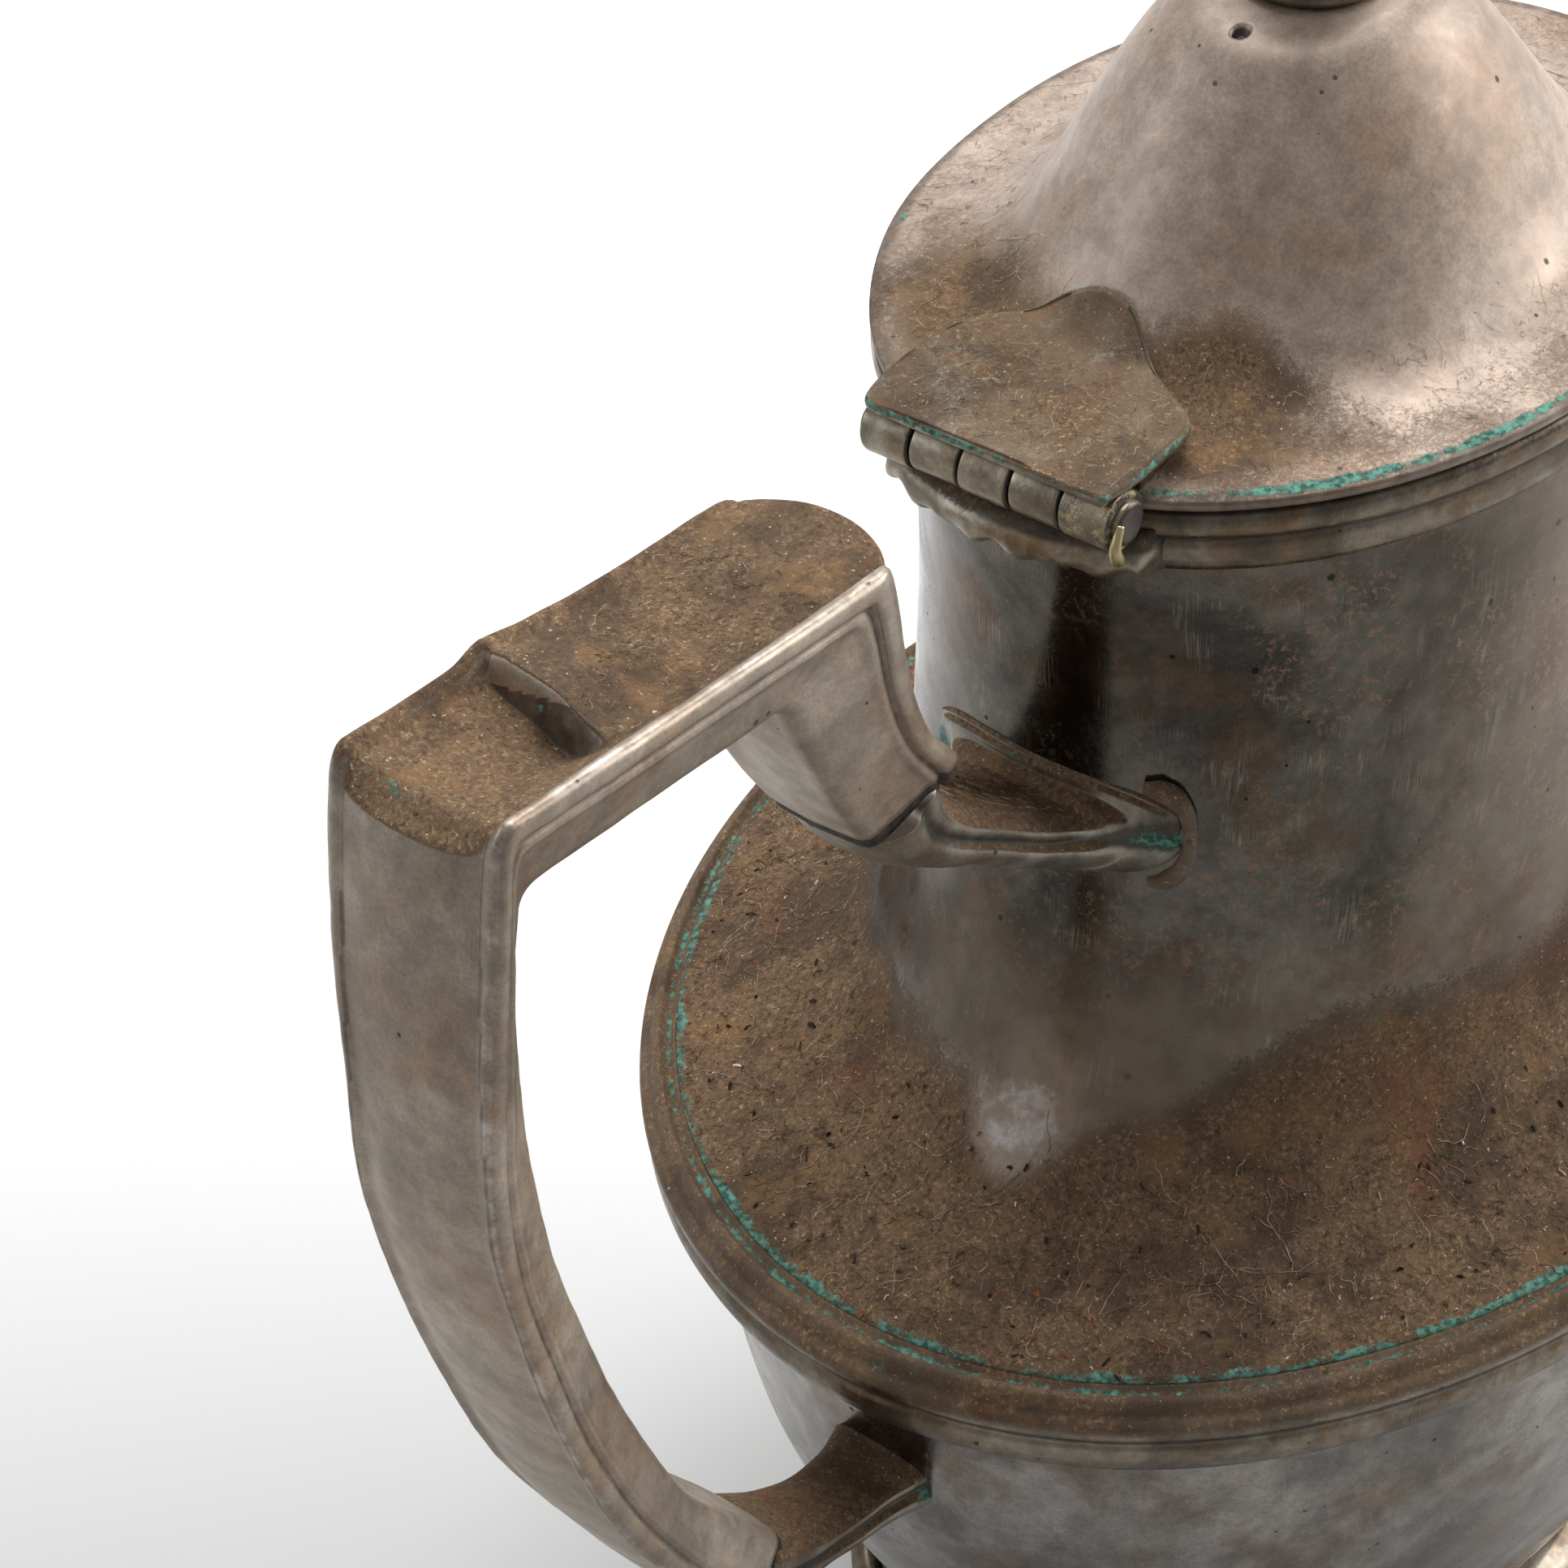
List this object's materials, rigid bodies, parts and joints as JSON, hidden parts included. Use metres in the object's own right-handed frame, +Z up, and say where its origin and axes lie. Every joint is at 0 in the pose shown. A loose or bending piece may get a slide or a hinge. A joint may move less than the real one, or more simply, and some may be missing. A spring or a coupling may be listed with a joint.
{
  "type": "lidded oval pot with handle",
  "caption": "Oval lidded serving pot in tarnished silvered metal: straight neck, wide moulded shoulder, tapering bowl, hinged domed lid, angular hollow strap handle.",
  "frame": {"origin": "centre of the underside of the foot, on the upright axis of the body", "axes": "+Z up; +X from the body's axis towards the handle; +Y completes the right-handed frame, so the hinge pin lies along Y"},
  "size_m": [0.169, 0.0996, 0.1934],
  "materials": {
    "tarnished_body": "tarnished, dusty on what faces up",
    "bowl_metal": "thinly tarnished, satin",
    "moulding": "tarnished, with solder lines and verdigris",
    "handle_metal": "tarnished, dusty on top",
    "socket_metal": "dark tarnish",
    "insulator": "dark, dull",
    "lid_metal": "tarnished, worn bright on the dome",
    "hinge_metal": "tarnished"
  },
  "bodies": {
    "pot": {"neck_shell": "tarnished_body", "bowl_shell": "bowl_metal", "shoulder_rim": "moulding", "mouth_rim": "moulding", "foot_ring": "moulding", "foot_collar": "moulding", "base_plate": "moulding", "handle_strap": "handle_metal", "handle_tube": "handle_metal", "thumb_rest": "handle_metal", "upper_socket": "socket_metal", "lower_socket": "socket_metal", "upper_insulator": "insulator", "lower_insulator": "insulator", "hinge_leaf": "hinge_metal", "hinge_pin": "hinge_metal", "body_knuckle_1": "hinge_metal", "body_knuckle_2": "hinge_metal", "body_knuckle_3": "hinge_metal"},
    "lid": {"lid_shell": "lid_metal", "lid_bezel": "lid_metal", "finial_collar": "moulding", "finial": "moulding", "finial_stud": "hinge_metal", "finial_washer": "hinge_metal", "finial_nut": "hinge_metal", "hinge_plate": "lid_metal", "lid_knuckle_1": "hinge_metal", "lid_knuckle_2": "hinge_metal"}
  },
  "joints": [
    {"name": "lid_hinge", "type": "hinge", "parent": "pot", "child": "lid", "pos_m": [0.0392, 0, 0.152], "axis": [0, 1, 0], "range_deg": [0, 100]}
  ]
}
